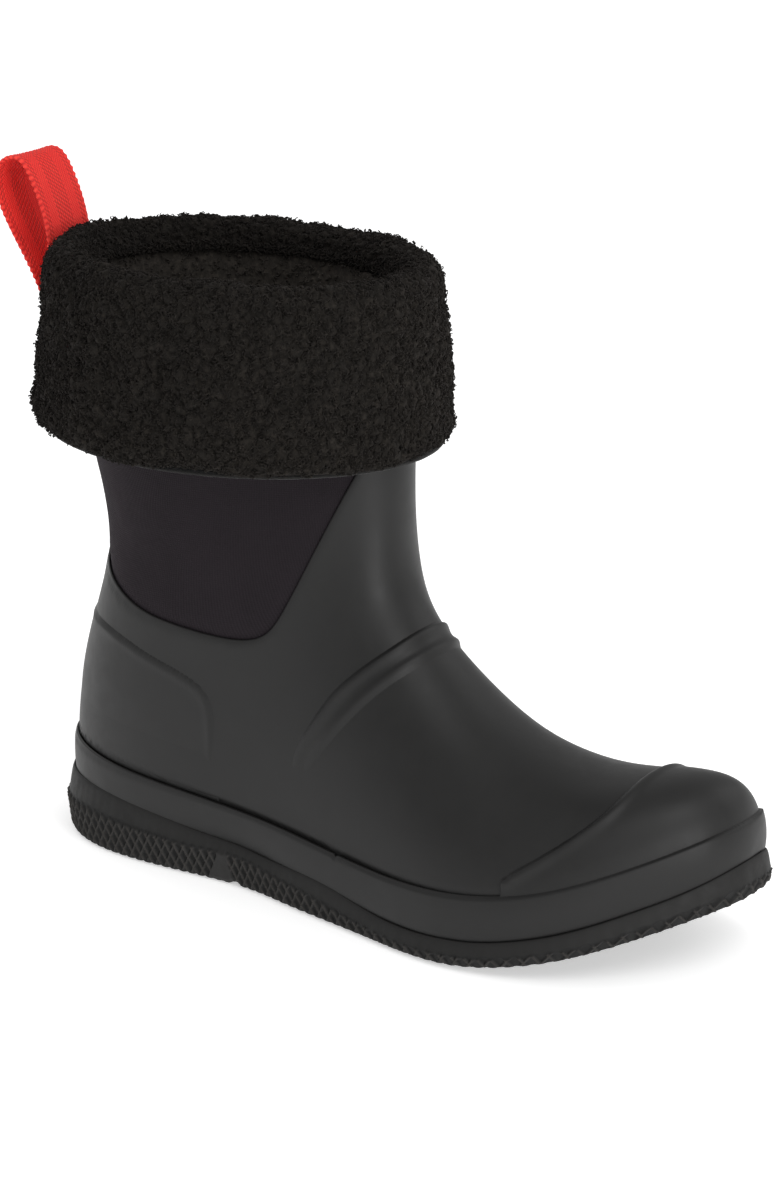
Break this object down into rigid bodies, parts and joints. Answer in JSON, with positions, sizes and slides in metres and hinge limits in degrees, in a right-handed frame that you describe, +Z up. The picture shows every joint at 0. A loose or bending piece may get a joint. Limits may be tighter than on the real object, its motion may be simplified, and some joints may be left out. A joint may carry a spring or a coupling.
{
  "type": "rubber boot",
  "caption": "Short pull-on rubber boot for the right foot: black rubber foot, soft knit-faced shaft, turned-down fleece cuff, red webbing pull loop and a removable footbed.",
  "frame": {"origin": "on the ground at the middle of the heel's tread", "axes": "+Z up, toe towards -Y, outer side of the foot towards -X"},
  "size_m": [0.137, 0.3221, 0.2615],
  "materials": {
    "rubber_black": "satin moulded rubber",
    "sole_rubber": "matte moulded rubber",
    "neoprene_knit": "knit-faced neoprene",
    "fleece_black": "curly sherpa pile",
    "backing_cloth": "plain woven backing",
    "binding_tape": "woven tape",
    "red_webbing": "ribbed webbing",
    "red_thread": "sewing thread",
    "lining_cloth": "brushed lining",
    "footbed_foam": "soft foam",
    "footbed_cover": "smooth knit",
    "board_fibre": "pressed fibre board",
    "filler_foam": "light moulded filler",
    "shank_steel": "plain steel strip",
    "stiffener_fibre": "thermoplastic sheet"
  },
  "bodies": {
    "boot": {"outsole": "sole_rubber", "heel_core": "filler_foam", "waist_filler": "filler_foam", "shank": "shank_steel", "insole_board": "board_fibre", "rubber_shell": "rubber_black", "foxing_strip": "rubber_black", "toe_cap": "rubber_black", "heel_counter": "rubber_black", "instep_band": "rubber_black", "heel_patch": "rubber_black", "back_stay": "rubber_black", "neoprene_sleeve": "neoprene_knit", "toe_puff": "stiffener_fibre", "heel_stiffener": "stiffener_fibre", "foot_lining": "lining_cloth", "shaft_lining": "lining_cloth"},
    "cuff": {"fleece_cuff": "fleece_black", "cuff_backing": "backing_cloth", "cuff_hem_binding": "binding_tape", "loop_anchor": "backing_cloth"},
    "loop": {"pull_loop": "red_webbing", "loop_stitch_lower": "red_thread", "loop_stitch_upper": "red_thread"},
    "footbed": {"footbed_foam": "footbed_foam", "footbed_cover": "footbed_cover"}
  },
  "joints": [
    {"name": "cuff_unroll", "type": "slide", "parent": "boot", "child": "cuff", "axis": [0, 0, 1], "range_m": [0, 0.055]},
    {"name": "loop_tip", "type": "hinge", "parent": "cuff", "child": "loop", "pos_m": [0, 0.0454, 0.1999], "axis": [-1, 0, 0], "range_deg": [0, 60], "stiffness_Nm_per_rad": 0.05},
    {"name": "footbed_lift", "type": "hinge", "parent": "boot", "child": "footbed", "pos_m": [0, -0.235, 0.0335], "axis": [1, 0, 0], "range_deg": [0, 8]}
  ]
}
